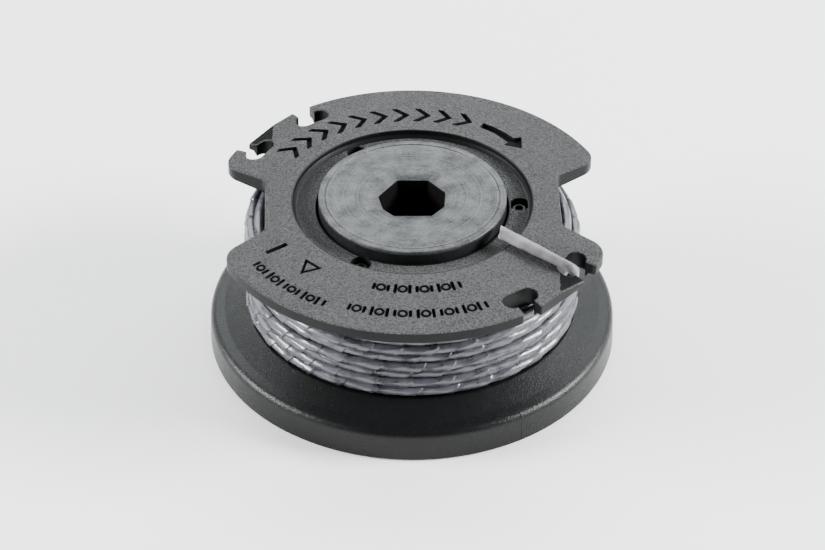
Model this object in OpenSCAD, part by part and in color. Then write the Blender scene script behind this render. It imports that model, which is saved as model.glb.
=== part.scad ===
// Grass-trimmer line spool: two flanges on a drum, wound with cutting line,
// round a sprung drive hub with a keyed socket. Millimetres, +Z up the spool's
// axis, origin at the centre of the base. The side notches lie on the X axis.

/* [Upper flange] */
// Radius of the upper flange
flange_r = 30.5; // [29.5:0.1:30.7]
// Thickness of the upper flange at its rim
flange_t = 1.83; // [1.5:0.01:2.2]
// Height of the upper flange's top face at its rim
rim_z = 23.7; // [23.4:0.1:24]
// Rise of the top face from the rim to the recess edge
crown_h = 1.19; // [0.6:0.01:1.4]
// Radius of the round recess in the top face
recess_r = 17.92; // [17.7:0.01:18.1]
// Height of the recess floor
recess_z = 23.75; // [23.6:0.01:23.85]

/* [Side notches] */
// Distance of a notch's straight inner edge from the axis
notch_x = 22.05; // [21:0.05:23]
// Half width of a notch where its side meets the inner edge
notch_half_w = 6.28; // [5:0.01:7]
// Angle of a notch's side from the X axis
notch_side_a = 36.2; // [30:0.1:42]
// Rounding of a notch's inner corners
notch_corner_r = 1.5; // [1:0.1:2]
// Rounding of the lobes beside a notch
lobe_r = 3.2; // [2:0.1:4]

/* [Line slots] */
// Radius of the circle that the slots lie on
slot_circle_r = 27.35; // [27.2:0.01:27.5]
// Width of a slot and of its mouth
slot_w = 2.9; // [2.6:0.1:3.1]
// Angle that one slot covers, end to end
slot_span = 12; // [10:0.5:13]
// Rounding of the lips at a mouth
lip_r = 0.4; // [0.3:0.1:1.2]
// Depth of the pad under the slots
slot_pad_t = 0.8; // [0.5:0.1:0.9]

/* [Drum and base] */
// Radius of the drum that the line is wound on
drum_r = 18.15; // [18.05:0.05:18.25]
// Radius of the well that the hub sinks into
well_r = 14.4; // [14.4:0.05:14.45]
// Radius of the lower flange at its foot
base_r = 30.85; // [30.8:0.05:31.5]
// Height of the lower flange where the line rests on it
base_top_z = 7.25; // [7:0.05:7.3]

/* [Hub] */
// Radius of the hub's disc
hub_r = 14.09; // [13.95:0.01:14.1]
// Height of the hub's top face
hub_top_z = 25.7; // [25.2:0.1:26]
// Radius of the hub's sleeve
sleeve_r = 7.4; // [7.39:0.01:7.41]
// Radius of the corners of the keyed socket
socket_r = 5.05; // [4.8:0.05:5.2]
// Radius of the round pilot bore under the socket
pilot_r = 4; // [3.5:0.1:4.2]
// Distance that the hub can be pressed in
press_travel = 3; // [2:0.1:3]

/* [Line] */
// Diameter of the cutting line
line_d = 1.6; // [1.5:0.05:1.65]
// Outer radius of the winding
winding_r = 25.2; // [24:0.1:25.3]

/* [Hidden] */
$fn = 96;

cut = 0.5;                        // how far a cutter runs past a face
past_rim = 2;                     // how far an opening's outline runs past the rim
fit_gap = 0.05;                   // clearance between pieces that fit together
edge = 0.15;                      // small chamfer on moulded edges
flange_low_z = rim_z - flange_t;
crown_z = rim_z + crown_h;
cutter_low_z = flange_low_z - slot_pad_t - cut;
cutter_h = crown_z + cut - cutter_low_z;
slot_angles = [-33, -57, 147, 123];
slot_pair_mid = [-45, 135];       // middle of each pair of slots
slot_pad_span = 41;               // angle that a pad covers
slot_pad_r = [25.2, 29.4];        // inner and outer radius of a pad
tongue_x = flange_r - 0.5;        // flat rim of the tongue between the slots of a pair
tongue_half_w = 6;
recess_fillet = [0.45, 0.4];      // width and height of the slope at the foot of the recess wall
ramp_turn = 31.5;                 // way the ramp on a tongue falls, from the pair's middle
ramp_start = [24.8, -18.8, rim_z + 0.2];
ramp_w = 9;
ramp_fall_a = 17.4;

spigot_r = 17.4;                  // drum's lower end, inside the base flange
spigot_z = 4.45;
web_z = 9;                        // web across the drum, which carries the bush
web_t = 2.5;
bush_wall = 0.75;
bush_low_z = 7.35;
bush_collar_r = 9.6;
bush_collar_t = 0.7;
seat_fall = 0.1;                  // fall of the base flange's top under the line
side_lean = 0.13;                 // lean of the base flange's side
anchor_r = 1;                     // hole for the line's inner end
anchor_z = base_top_z + 1;
anchor_a = 200;

cap_r = 27.2;                     // disc that closes the base
cap_low_z = 0.4;
cap_t = 1.4;
skirt_r = 25;

disc_low_z = 22.2;                // underside of the hub's disc
sleeve_low_z = cap_low_z + cap_t + press_travel + 0.7;
socket_low_z = 15;
socket_angles = [15, 61, 115, 173, 209, 236, 302, 336];
ring_z = 20.6;                    // thrust ring under the disc
ring_t = 1.5;
ring_r = 13.9;
ring_gap = 0.08;
spring_wire_r = 0.5;
spring_r = 10.8;
spring_turns = 4.5;
clip_z = 6.35;
clip_t = 0.85;

pin_circle_r = 16;
pin_angles = [0, 120, 240];
pin_head_r = 1.45;
pin_head_t = 0.85;
pin_sink = 0.7;                   // depth of a head's top under the recess floor
pin_shank_r = 0.8;
pin_low_z = 2.4;
pin_pip_r = 0.45;
pin_pip_t = 0.5;

mark_depth = 0.6;
scale_r = 26.4;                   // short scale of bars at the front
scale_bar = [1.3, 0.5];
scale_angles = [-118:4:-66];
mark_r = 22.6;                    // circle that the chevrons lie on
mark_half_h = 1.9;
mark_stroke = 0.9;
chevron_first_a = 142;
chevron_step_a = 8.4;
chevron_count = 10;
arrow_outline = [[11.6, 20.2], [13.3, 19], [15, 17.3], [16, 16], [17.2, 16.4],
                 [17.1, 13.2], [14.4, 14], [15.1, 14.7], [13.2, 17.3], [11, 19]];

// Points of an arc about a centre, from one angle to another
function arc(centre, r, from_a, to_a, steps) =
    [for (i = [0:steps]) let (a = from_a + (to_a - from_a) * i / steps)
        centre + r * [cos(a), sin(a)]];

// Centre of a rounding that touches both the rim and an opening's side. The side
// stands at an angle to the X axis and at a distance from the origin.
function lip_centre(side_a, side_d, r) =
    (side_d + r) * [-sin(side_a), cos(side_a)]
    + sqrt(pow(flange_r - r, 2) - pow(side_d + r, 2)) * [cos(side_a), sin(side_a)];

// Outer half of an opening's outline: round the lip, then out past the rim
function lip_outline(side_a, side_d, r) =
    let (centre = lip_centre(side_a, side_d, r), out_a = atan2(centre.y, centre.x))
    let (out = (flange_r + past_rim) * [cos(out_a), sin(out_a)])
    concat(arc(centre, r, side_a - 90, out_a, 12), [out, [flange_r + past_rim, out.y]]);

// Whole outline from its upper half, mirrored in the X axis
function both_sides(half) =
    concat(half, [for (i = [len(half) - 1:-1:0]) [half[i].x, -half[i].y]]);

notch_side_d = notch_half_w * cos(notch_side_a) - notch_x * sin(notch_side_a);
notch_fillet = [notch_x + notch_corner_r,
                (notch_side_d - notch_corner_r + (notch_x + notch_corner_r) * sin(notch_side_a))
                / cos(notch_side_a)];
notch_outline = both_sides(concat(
    arc(notch_fillet, notch_corner_r, 180, 90 + notch_side_a, 6),
    lip_outline(notch_side_a, notch_side_d, lobe_r)));
mouth_outline = both_sides(concat(
    [[slot_circle_r, slot_w / 2]],
    lip_outline(0, slot_w / 2, lip_r)));

// Ring of rectangular section, over the whole turn or a part of it
module ring_sector(r_in, r_out, z, h, from_a = 0, span = 360) {
    rotate([0, 0, from_a])
        rotate_extrude(angle = span)
            translate([r_in, z])
                square([r_out - r_in, h]);
}

// Everything that is cut out of the upper flange for one line slot, at angle 0
module slot_cutter() {
    end_a = slot_span / 2 - asin(slot_w / 2 / slot_circle_r);
    ring_sector(slot_circle_r - slot_w / 2, slot_circle_r + slot_w / 2,
                cutter_low_z, cutter_h, -end_a, 2 * end_a);
    for (a = [-end_a, end_a])
        rotate([0, 0, a])
            translate([slot_circle_r, 0, cutter_low_z])
                cylinder(h = cutter_h, r = slot_w / 2);
    translate([0, 0, cutter_low_z])
        linear_extrude(cutter_h)
            polygon(mouth_outline);
}

// Plain marks engraved in the top face: a row of chevrons that run clockwise,
// the arrow that ends them, and a short scale of bars at the front
module mark_outlines() {
    for (i = [0:chevron_count - 1])
        rotate([0, 0, chevron_first_a - i * chevron_step_a])
            chevron();
    polygon(arrow_outline);
    for (a = scale_angles)
        rotate([0, 0, a])
            translate([scale_r, 0])
                square(scale_bar, center = true);
}

module chevron() {
    lean = 0.9;
    polygon([[mark_r - mark_half_h, lean], [mark_r, -lean], [mark_r + mark_half_h, lean],
             [mark_r + mark_half_h, lean + mark_stroke], [mark_r, mark_stroke - lean],
             [mark_r - mark_half_h, lean + mark_stroke]]);
}

module engraving() {
    over = 1;
    intersection() {
        translate([0, 0, rim_z - over])
            linear_extrude(crown_h + 2 * over)
                mark_outlines();
        rotate_extrude()
            polygon([[recess_r, crown_z - mark_depth], [flange_r, rim_z - mark_depth],
                     [flange_r, crown_z + over], [recess_r, crown_z + over]]);
    }
}

module spool_profile() {
    fillet = 0.6;
    polygon([[recess_r, crown_z], [flange_r - edge, rim_z], [flange_r, rim_z - edge],
             [flange_r, flange_low_z + edge], [flange_r - edge, flange_low_z],
             [drum_r + fillet, flange_low_z], [drum_r, flange_low_z - fillet],
             [drum_r, base_top_z], [spigot_r, base_top_z], [spigot_r, spigot_z],
             [well_r, spigot_z], [well_r, web_z], [sleeve_r + bush_wall + 2 * fit_gap, web_z],
             [sleeve_r + bush_wall + 2 * fit_gap, web_z + web_t], [well_r, web_z + web_t],
             [well_r, recess_z], [recess_r - recess_fillet.x, recess_z],
             [recess_r, recess_z + recess_fillet.y]]);
}

module spool_body() {
    color("#3b3d3f")
    difference() {
        union() {
            rotate_extrude()
                spool_profile();
            for (a = slot_pair_mid)
                ring_sector(slot_pad_r[0], slot_pad_r[1], flange_low_z - slot_pad_t, slot_pad_t + cut,
                            a - slot_pad_span / 2, slot_pad_span);
        }
        for (turn = [0, 180])
            rotate([0, 0, turn])
                translate([0, 0, cutter_low_z])
                    linear_extrude(cutter_h)
                        polygon(notch_outline);
        for (a = slot_angles)
            rotate([0, 0, a])
                slot_cutter();
        for (a = slot_pair_mid)
            rotate([0, 0, a])
                tongue_cutter();
        for (a = pin_angles)
            rotate([0, 0, a])
                translate([pin_circle_r, 0, 0])
                    pin_hole();
        rotate([0, 0, anchor_a])
            translate([well_r - 2 * cut, 0, anchor_z])
                rotate([0, 90, 0])
                    cylinder(h = drum_r - well_r + 4 * cut, r = anchor_r);
        engraving();
    }
}

// Flat rim of the tongue between two slots, and the ramp that lets the line down
// to the mouth of one of them
module tongue_cutter() {
    clear = 7;
    translate([tongue_x, -tongue_half_w, cutter_low_z])
        cube([past_rim, 2 * tongue_half_w, cutter_h]);
    rotate([0, 0, ramp_turn])
        translate(ramp_start)
            rotate([0, ramp_fall_a, 0])
                cube([clear, ramp_w, clear]);
}

module pin_hole() {
    translate([0, 0, spigot_z - cut])
        cylinder(h = recess_z - spigot_z + 2 * cut, r = pin_shank_r + fit_gap, $fn = 32);
    translate([0, 0, recess_z - pin_sink - pin_head_t])
        cylinder(h = pin_sink + pin_head_t + cut, r = pin_head_r + fit_gap, $fn = 48);
}

// Lower flange: a cone that falls away from the drum, a round shoulder and a
// nearly upright side, hollow underneath
module base_flange() {
    shoulder = [[29.2, 5.3], [29.62, 5.06], [30.02, 4.8], [30.38, 4.5], [30.62, 4.2],
                [base_r - side_lean, 3.95]];
    foot_r = 0.37;
    ledge_z = 3.2;
    ledge_r = 14.2;
    roof_z = 4.4;
    color("#303234")
    difference() {
        rotate_extrude()
            polygon(concat(
                [[spigot_r + fit_gap, base_top_z], [spigot_r + fit_gap, spigot_z - fit_gap],
                 [ledge_r, spigot_z - fit_gap], [ledge_r, ledge_z], [skirt_r - 2 * fit_gap, ledge_z],
                 [skirt_r - 2 * fit_gap, roof_z], [cap_r + fit_gap, roof_z], [cap_r + fit_gap, 0]],
                arc([base_r - foot_r, foot_r], foot_r, -90, 0, 6),
                [for (i = [len(shoulder) - 1:-1:0]) shoulder[i]],
                [[winding_r, base_top_z - seat_fall]]));
        for (a = pin_angles)
            rotate([0, 0, a])
                translate([pin_circle_r, 0, ledge_z - cut])
                    cylinder(h = spigot_z, r = pin_shank_r + fit_gap, $fn = 32);
    }
}

// Disc that closes the base and snaps into it by its skirt
module base_cap() {
    skirt_top_z = 4.3;
    dish_r = 20;
    dish_t = 0.3;
    color("#2b2d2f")
    difference() {
        rotate_extrude()
            polygon([[0, cap_low_z], [cap_r - edge, cap_low_z], [cap_r, cap_low_z + edge],
                     [cap_r, skirt_top_z - edge], [cap_r - edge, skirt_top_z], [skirt_r + edge, skirt_top_z],
                     [skirt_r, skirt_top_z - edge], [skirt_r, cap_low_z + cap_t], [0, cap_low_z + cap_t]]);
        translate([0, 0, cap_low_z - cut])
            cylinder(h = cut + dish_t, r = dish_r);
    }
}

// Three long rivets, sunk under the recess floor, that hold the body on the base flange
module fixing_pins() {
    head_top_z = recess_z - pin_sink;
    tail_head_t = 0.75;
    color("#4a4c4e")
    for (a = pin_angles)
        rotate([0, 0, a])
            translate([pin_circle_r, 0, 0])
                difference() {
                    union() {
                        translate([0, 0, head_top_z - pin_head_t])
                            cylinder(h = pin_head_t, r = pin_head_r, $fn = 48);
                        translate([0, 0, pin_low_z])
                            cylinder(h = head_top_z - pin_low_z - cut, r = pin_shank_r, $fn = 32);
                        translate([0, 0, pin_low_z])
                            cylinder(h = tail_head_t, r = pin_head_r, $fn = 48);
                    }
                    translate([0, 0, head_top_z - pin_pip_t])
                        cylinder(h = pin_pip_t + cut, r = pin_pip_r, $fn = 32);
                }
}

// Collared bush that the hub's sleeve turns and slides in
module hub_bush() {
    bore_r = sleeve_r + fit_gap;
    color("#b79a5b")
    rotate_extrude()
        polygon([[bore_r, bush_low_z], [bore_r + bush_wall, bush_low_z],
                 [bore_r + bush_wall, web_z + web_t], [bush_collar_r, web_z + web_t],
                 [bush_collar_r, web_z + web_t + bush_collar_t], [bore_r, web_z + web_t + bush_collar_t]]);
}

module drive_hub() {
    dish = 0.15;
    bevel_r = 6.7;
    bevel_low_z = hub_top_z - 0.5;
    groove_r = sleeve_r - 0.55;
    color("#8c8e90")
    difference() {
        rotate_extrude()
            polygon([[pilot_r, sleeve_low_z], [sleeve_r - edge, sleeve_low_z],
                     [sleeve_r, sleeve_low_z + edge],
                     [sleeve_r, clip_z - fit_gap], [groove_r, clip_z - fit_gap],
                     [groove_r, clip_z + clip_t + fit_gap], [sleeve_r, clip_z + clip_t + fit_gap],
                     [sleeve_r, disc_low_z], [hub_r - edge, disc_low_z], [hub_r, disc_low_z + edge],
                     [hub_r, hub_top_z - edge], [hub_r - edge, hub_top_z], [bevel_r, hub_top_z - dish],
                     [socket_r + 0.2, bevel_low_z], [pilot_r, bevel_low_z]]);
        translate([0, 0, socket_low_z])
            linear_extrude(hub_top_z - socket_low_z + cut)
                polygon([for (a = socket_angles) socket_r * [cos(a), sin(a)]]);
    }
}

// Flat ring between the spring and the turning hub
module thrust_ring() {
    color("#c9c9c4")
        ring_sector(sleeve_r + ring_gap, ring_r, ring_z, ring_t);
}

// Ring that stops the hub under the bush, open on one side
module retaining_clip() {
    clip_r = 8.9;
    clip_bite = 0.5;                  // depth in the sleeve's groove
    clip_gap_a = 40;
    color("#9aa0a4")
        ring_sector(sleeve_r - clip_bite, clip_r, clip_z, clip_t, clip_gap_a / 2, 360 - clip_gap_a);
}

// Helix between the web and the thrust ring
module hub_spring() {
    low_z = web_z + web_t + spring_wire_r;
    high_z = ring_z - spring_wire_r;
    steps = 72;
    path = [for (i = [0:steps]) let (t = i / steps, a = 360 * spring_turns * t)
        [spring_r * cos(a), spring_r * sin(a), low_z + (high_z - low_z) * t]];
    color("#a9adb0")
        sweep(path, spring_wire_r);
}

// Closed solid of the wound line
module line_winding() {
    gap = 0.12;
    low_z = base_top_z + gap;
    color("#a9a9b6")
        ring_sector(drum_r + gap, winding_r, low_z, flange_low_z - gap - low_z);
}

// Free end of the line: from its cut end over the flange, down through a slot
// and back round under the flange to the winding
tail_route = [[12.7, -9.55, 25.75], [15, -11.5, 25.65], [17.4, -13.35, 25.45], [19.8, -15.15, 25.2],
              [21.6, -16.4, 24.9], [22.8, -16.8, 24.3], [23.1, -16.25, 23.3], [22.95, -15.9, 22.3],
              [22.5, -15.9, 21.3], [21.8, -16.3, 20.5], [20.9, -17.2, 20], [19.6, -18.5, 19.85],
              [18, -19.9, 19.8], [16.1, -21.3, 19.85], [13.9, -22.5, 19.95], [11.4, -23.4, 20.15],
              [8.7, -24.1, 20.3], [6, -24.4, 20.4], [4.2, -24.6, 20.5]];

module line_tail() {
    rings_per_span = 3;
    color("#b9b9c4")
        sweep(smooth(tail_route, rings_per_span), line_d / 2);
}

// Smooth curve through a list of points, with more points in each span
function smooth(p, n) =
    concat([for (i = [0:len(p) - 2], k = [0:n - 1])
        let (a = p[max(i - 1, 0)], b = p[i], c = p[i + 1], d = p[min(i + 2, len(p) - 1)], t = k / n)
        0.5 * (2 * b + (c - a) * t + (2 * a - 5 * b + 4 * c - d) * t * t
               + (3 * b - a - 3 * c + d) * t * t * t)],
        [p[len(p) - 1]]);

function unit(v) = v / norm(v);
function along(p, i) = unit(p[min(i + 1, len(p) - 1)] - p[max(i - 1, 0)]);
function square_to(v, t) = unit(v - (v * t) * t);

// Round bar along a path, closed at both ends. Each ring's side direction is the
// one before it, turned square to the path.
module sweep(path, r, sides = 8) {
    last = len(path) - 1;
    side = [for (i = 0, v = square_to([0, 0, 1], along(path, 0)); i <= last;
                 i = i + 1, v = i <= last ? square_to(v, along(path, i)) : v) v];
    points = [for (i = [0:last], k = [0:sides - 1])
        let (a = 360 * k / sides, up = cross(along(path, i), side[i]))
        path[i] + r * (cos(a) * side[i] + sin(a) * up)];
    walls = [for (i = [0:last - 1], k = [0:sides - 1])
        let (n = (k + 1) % sides, base = i * sides)
        [base + k, base + sides + k, base + sides + n, base + n]];
    polyhedron(points, concat([[for (k = [0:sides - 1]) k]], walls,
                              [[for (k = [sides - 1:-1:0]) last * sides + k]]));
}

spool_body();
base_flange();
base_cap();
fixing_pins();
hub_bush();
drive_hub();
thrust_ring();
hub_spring();
retaining_clip();
line_winding();
line_tail();
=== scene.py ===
"""Trimmer line spool: the looks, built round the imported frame. Lengths are in millimetres
until a mesh is made, then in metres. Z is up the spool's axis; angles run from +X, in degrees."""
from math import asin, atan2, ceil, cos, degrees, pi, radians, sin, sqrt, tan

import bmesh
import bpy
import numpy as np
from mathutils import Matrix, Vector
from mathutils.geometry import delaunay_2d_cdt


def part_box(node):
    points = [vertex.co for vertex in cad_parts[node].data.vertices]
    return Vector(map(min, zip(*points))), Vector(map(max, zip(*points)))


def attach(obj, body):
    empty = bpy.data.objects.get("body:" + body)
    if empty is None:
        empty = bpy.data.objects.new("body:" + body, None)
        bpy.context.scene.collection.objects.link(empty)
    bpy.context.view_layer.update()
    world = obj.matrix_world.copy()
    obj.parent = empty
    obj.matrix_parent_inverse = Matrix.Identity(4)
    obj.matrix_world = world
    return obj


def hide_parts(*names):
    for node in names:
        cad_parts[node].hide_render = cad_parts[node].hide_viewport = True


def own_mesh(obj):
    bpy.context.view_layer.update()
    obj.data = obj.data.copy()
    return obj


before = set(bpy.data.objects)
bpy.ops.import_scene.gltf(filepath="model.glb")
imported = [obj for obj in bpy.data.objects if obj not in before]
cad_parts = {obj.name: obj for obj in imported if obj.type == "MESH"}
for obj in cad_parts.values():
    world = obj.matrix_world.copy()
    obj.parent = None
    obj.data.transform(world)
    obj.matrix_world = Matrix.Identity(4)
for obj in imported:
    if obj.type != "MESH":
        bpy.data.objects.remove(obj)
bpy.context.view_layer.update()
MM = 0.001

# ---- sizes, in mm
BODY_HIGH = np.array(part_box("spool_body")[1]) / MM
BASE_HIGH = np.array(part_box("base_flange")[1]) / MM
HUB_HIGH = np.array(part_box("drive_hub")[1]) / MM
WINDING_LOW, WINDING_HIGH = (np.array(corner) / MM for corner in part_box("line_winding"))

RIM_R = BODY_HIGH[1]  # upper flange
CROWN_Z = BODY_HIGH[2]
CROWN_H = 1.19
RIM_Z = CROWN_Z - CROWN_H
FLANGE_T = 1.83
FLANGE_LOW_Z = RIM_Z - FLANGE_T
EDGE_R = 0.18  # rounding of the flange's edges
MARK_DEPTH = 0.6
RECESS_R = 17.92
RECESS_Z = RIM_Z + 0.05
WELL_R = 14.4  # well in the recess floor, which the hub stands in
WEB_BORE_R, WEB_Z = 8.25, (9, 11.5)  # web across the drum, which carries the bush
DRUM_R = 18.15
SEAT_Z = 7.25  # where the drum meets the base flange
SPIGOT_R, SPIGOT_Z = 17.4, 4.45  # drum's lower end, inside the base flange
PIN_CIRCLE_R, PIN_ANGLES = 16, (0, 120, 240)
PIN_HEAD_R, PIN_HEAD_T, PIN_SINK = 1.45, 0.85, 0.7
PIN_SHANK_R, PIN_LOW_Z = 0.8, 2.4
LINE_R = 0.8


# ---- camera
CAMERA_LENS, SENSOR_WIDTH = 152.73, 36
CAMERA_PLACE = (-14.61, -420.08, 336.35)
CAMERA_TURN, CAMERA_PITCH, CAMERA_ROLL = -2, 37.769, 0.286


def make_camera():
    data = bpy.data.cameras.new("camera")
    data.lens = CAMERA_LENS
    data.sensor_width = SENSOR_WIDTH
    data.clip_start = 0.01
    camera = bpy.data.objects.new("camera", data)
    bpy.context.scene.collection.objects.link(camera)
    turn = Matrix.Rotation(radians(CAMERA_TURN), 4, "Z")
    tilt = Matrix.Rotation(radians(90 - CAMERA_PITCH), 4, "X")
    roll = Matrix.Rotation(radians(CAMERA_ROLL), 4, "Z")
    camera.matrix_world = Matrix.Translation(Vector(CAMERA_PLACE) * MM) @ turn @ tilt @ roll
    bpy.context.scene.camera = camera


# ---- 2D outlines
def polar(r, a):
    return np.array([r * cos(radians(a)), r * sin(radians(a))])


def turned(points, a):
    c, s = cos(radians(a)), sin(radians(a))
    return [np.array([x * c - y * s, x * s + y * c]) for x, y in points]


def arc(centre, r, from_a, to_a, step=0.35):
    """Points of an arc, no further apart than step."""
    count = max(2, ceil(abs(radians(to_a - from_a)) * r / step))
    return [np.array(centre) + polar(r, from_a + (to_a - from_a) * i / count) for i in range(count + 1)]


def rounded(points, closed=True, steps=4):
    """Rounds the corners of an outline. A point is (x, y) or (x, y, rounding)."""
    out = []
    n = len(points)
    for i, point in enumerate(points):
        here = np.array(point[:2], float)
        size = point[2] if len(point) > 2 else 0
        if size == 0 or (not closed and i in (0, n - 1)):
            out.append(here)
            continue
        back = np.array(points[i - 1][:2], float) - here
        ahead = np.array(points[(i + 1) % n][:2], float) - here
        back_l, ahead_l = np.linalg.norm(back), np.linalg.norm(ahead)
        back, ahead = back / back_l, ahead / ahead_l
        half = np.arccos(np.clip(back @ ahead, -1, 1)) / 2
        if half > radians(89.5):
            out.append(here)
            continue
        reach = min(size / tan(half), back_l * 0.49, ahead_l * 0.49)
        size = reach * tan(half)
        centre = here + (back + ahead) / np.linalg.norm(back + ahead) * size / sin(half)
        start, end = here + back * reach - centre, here + ahead * reach - centre
        from_a = degrees(atan2(start[1], start[0]))
        span = (degrees(atan2(end[1], end[0])) - from_a + 180) % 360 - 180
        out += [centre + polar(size, from_a + span * k / steps) for k in range(steps + 1)]
    return out


def thin_out(points, least=0.02):
    """A closed outline without points that lie on their neighbours."""
    kept = [points[0]]
    for p in points[1:]:
        if np.linalg.norm(p - kept[-1]) > least:
            kept.append(p)
    if np.linalg.norm(kept[0] - kept[-1]) <= least:
        kept.pop()
    return np.array(kept)


def filled_in(points, step):
    """A closed outline with no gap longer than step."""
    out = []
    for i, p in enumerate(points):
        q = points[(i + 1) % len(points)]
        count = max(1, ceil(np.linalg.norm(q - p) / step))
        out += [p + (q - p) * k / count for k in range(count)]
    return np.array(out)


def left_normals(loop):
    """Unit normals to the left of a closed outline, at its points."""
    edges = np.roll(loop, -1, axis=0) - loop
    edges /= np.linalg.norm(edges, axis=1)[:, None]
    normals = np.stack([-edges[:, 1], edges[:, 0]], axis=1)
    normals = normals + np.roll(normals, 1, axis=0)
    return normals / np.linalg.norm(normals, axis=1)[:, None]


def inside(points, loop):
    """Which points lie inside a closed outline."""
    x, y = points[:, 0][:, None], points[:, 1][:, None]
    x0, y0 = loop[:, 0][None], loop[:, 1][None]
    x1, y1 = np.roll(loop[:, 0], -1)[None], np.roll(loop[:, 1], -1)[None]
    crosses = (y0 > y) != (y1 > y)
    run = np.where(y1 == y0, 1, y1 - y0)
    return (crosses & (x < (x1 - x0) * (y - y0) / run + x0)).sum(axis=1) % 2 == 1


# ---- the upper flange's outline
NOTCH_X, NOTCH_HALF_W, NOTCH_SIDE_A = 22.05, 6.28, 36.2
NOTCH_CORNER_R, LOBE_R = 1.5, 3.2
SLOT_R, SLOT_W, SLOT_SPAN, LIP_R = 27.35, 2.9, 12, 0.4
SLOT_LEAD = (0.8, 0.6, 0.05)  # how far a slot's throat opens, inwards, outwards and sideways
PAD_T = 0.8  # extra thickness under the slots
PAD_LOW_R, PAD_HIGH_R, PAD_HALF_SPAN = 25.2, 29.4, 20.5
PAIRS = (-45, 135)
SLOT_OFFSET = 12  # a slot's angle from the middle of its pair
TONGUE_X, TONGUE_HALF_W = RIM_R - 0.5, 6.0  # flat rim of the tongue between two slots
RAMP_TURN, RAMP_X, RAMP_Z, RAMP_FALL = 31.5, 24.8, RIM_Z + 0.2, tan(radians(17.4))
RAMP_Y = (-18.8, -9.8)
RAMP_RUN_OUT = 1.5  # length over which a ramp's near end fades out
RIM_STEP = 0.45  # longest gap between points of the outline


def lip(side_a, side_d, r, rim_r):
    """Arc that rounds an opening's upper side into the rim, from the side to the rim."""
    along = sqrt((rim_r - r) ** 2 - (side_d + r) ** 2)
    centre = (side_d + r) * polar(1, side_a + 90) + along * polar(1, side_a)
    return arc(centre, r, side_a - 90, degrees(atan2(centre[1], centre[0])), 0.25)


def mirrored(points):
    return [np.array([x, -y]) for x, y in reversed(points)]


def notch_path():
    """A side notch, with flaring sides and rounded corners."""
    side_cos, side_sin = cos(radians(NOTCH_SIDE_A)), sin(radians(NOTCH_SIDE_A))
    side_d = NOTCH_HALF_W * side_cos - NOTCH_X * side_sin
    corner_x = NOTCH_X + NOTCH_CORNER_R
    corner_y = (side_d - NOTCH_CORNER_R + corner_x * side_sin) / side_cos
    upper = arc((corner_x, corner_y), NOTCH_CORNER_R, 180, 90 + NOTCH_SIDE_A)
    upper += lip(NOTCH_SIDE_A, side_d, LOBE_R, RIM_R)
    return mirrored(upper) + upper


def slot_path():
    """One T-shaped line slot, from its lower lip round to its upper lip."""
    half_w = SLOT_W / 2
    end_a = SLOT_SPAN / 2 - degrees(asin(half_w / SLOT_R))
    throat_x = sqrt((SLOT_R + half_w) ** 2 - half_w ** 2)
    inwards, outwards, sideways = SLOT_LEAD
    throat = rounded([(throat_x - inwards, half_w + sideways), (throat_x, half_w, 0.3),
                      (throat_x + outwards, half_w)], closed=False)
    end = arc(polar(SLOT_R, end_a), half_w, end_a + 180, end_a + 20)
    upper = end + throat[1:] + lip(0, half_w, LIP_R, RIM_R)[1:]
    floor = arc((0, 0), SLOT_R - half_w, -end_a, end_a)
    return mirrored(upper) + floor[1:-1] + upper


def flatten_tongues(points):
    """Cuts the rim between the slots of a pair back to a flat."""
    out = []
    for p in points:
        for middle in PAIRS:
            x, y = turned([p], -middle)[0]
            if x > TONGUE_X and abs(y) < TONGUE_HALF_W:
                p = turned([(TONGUE_X, y)], middle)[0]
        out.append(p)
    return out


def flange_outline():
    openings = []
    for turn in (0, 180):
        openings.append((turn, notch_path()))
        for side in (-1, 1):
            openings.append(((PAIRS[0] + turn + side * SLOT_OFFSET) % 360, slot_path()))
    openings.sort(key=lambda o: o[0])
    points = []
    for i, (angle, path) in enumerate(openings):
        next_angle, next_path = openings[(i + 1) % len(openings)]
        points += turned(path, angle)
        start, goal = points[-1], turned(next_path, next_angle)[0]
        from_a = degrees(atan2(start[1], start[0]))
        span = (degrees(atan2(goal[1], goal[0])) - from_a) % 360
        points += arc((0, 0), RIM_R, from_a, from_a + span, RIM_STEP)[1:-1]
    return filled_in(thin_out(flatten_tongues(points)), RIM_STEP)


# ---- marks in the top face
CHEVRONS, CHEVRON_FIRST_A, CHEVRON_STEP_A = 10, 142, 8.4
CHEVRON_R, CHEVRON_HALF_H, CHEVRON_LEAN, CHEVRON_STROKE = 22.6, 1.9, 0.9, 0.95
ARROW_CORNERS = ((11, 19), (13.2, 17.3), (15.1, 14.7), (14.4, 14), (17.1, 13.2),
                 (17.2, 16.4), (16, 16), (15, 17.3), (13.3, 19), (11.6, 20.2))
MARK_ROUNDING = 0.12
SCALE_STROKE, SCALE_LINE = 0.42, 0.32  # width of a bar, and of a ring's line
SCALE_RING, SCALE_SHORT = 0.42, 0.72  # a ring's radius and a short bar's height, as shares of the row's
# Rows of bars and rings: radius, first and last angle, count and height
SCALE_ROWS = ((26.4, -112, -68, 19, 1.8), (21.3, -107, -73, 13, 1.8), (27.1, -149, -120, 13, 1.7))


def engraved(corners, rounding=MARK_ROUNDING):
    return rounded([(x, y, rounding) for x, y in corners], steps=2)


def chevron(a):
    half_h, lean, stroke = CHEVRON_HALF_H, CHEVRON_LEAN, CHEVRON_STROKE
    shape = [(-half_h, lean), (0, -lean), (half_h, lean),
             (half_h, lean + stroke), (0, stroke - lean), (-half_h, lean + stroke)]
    return turned(engraved([(CHEVRON_R + x, y) for x, y in shape]), a)


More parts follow.
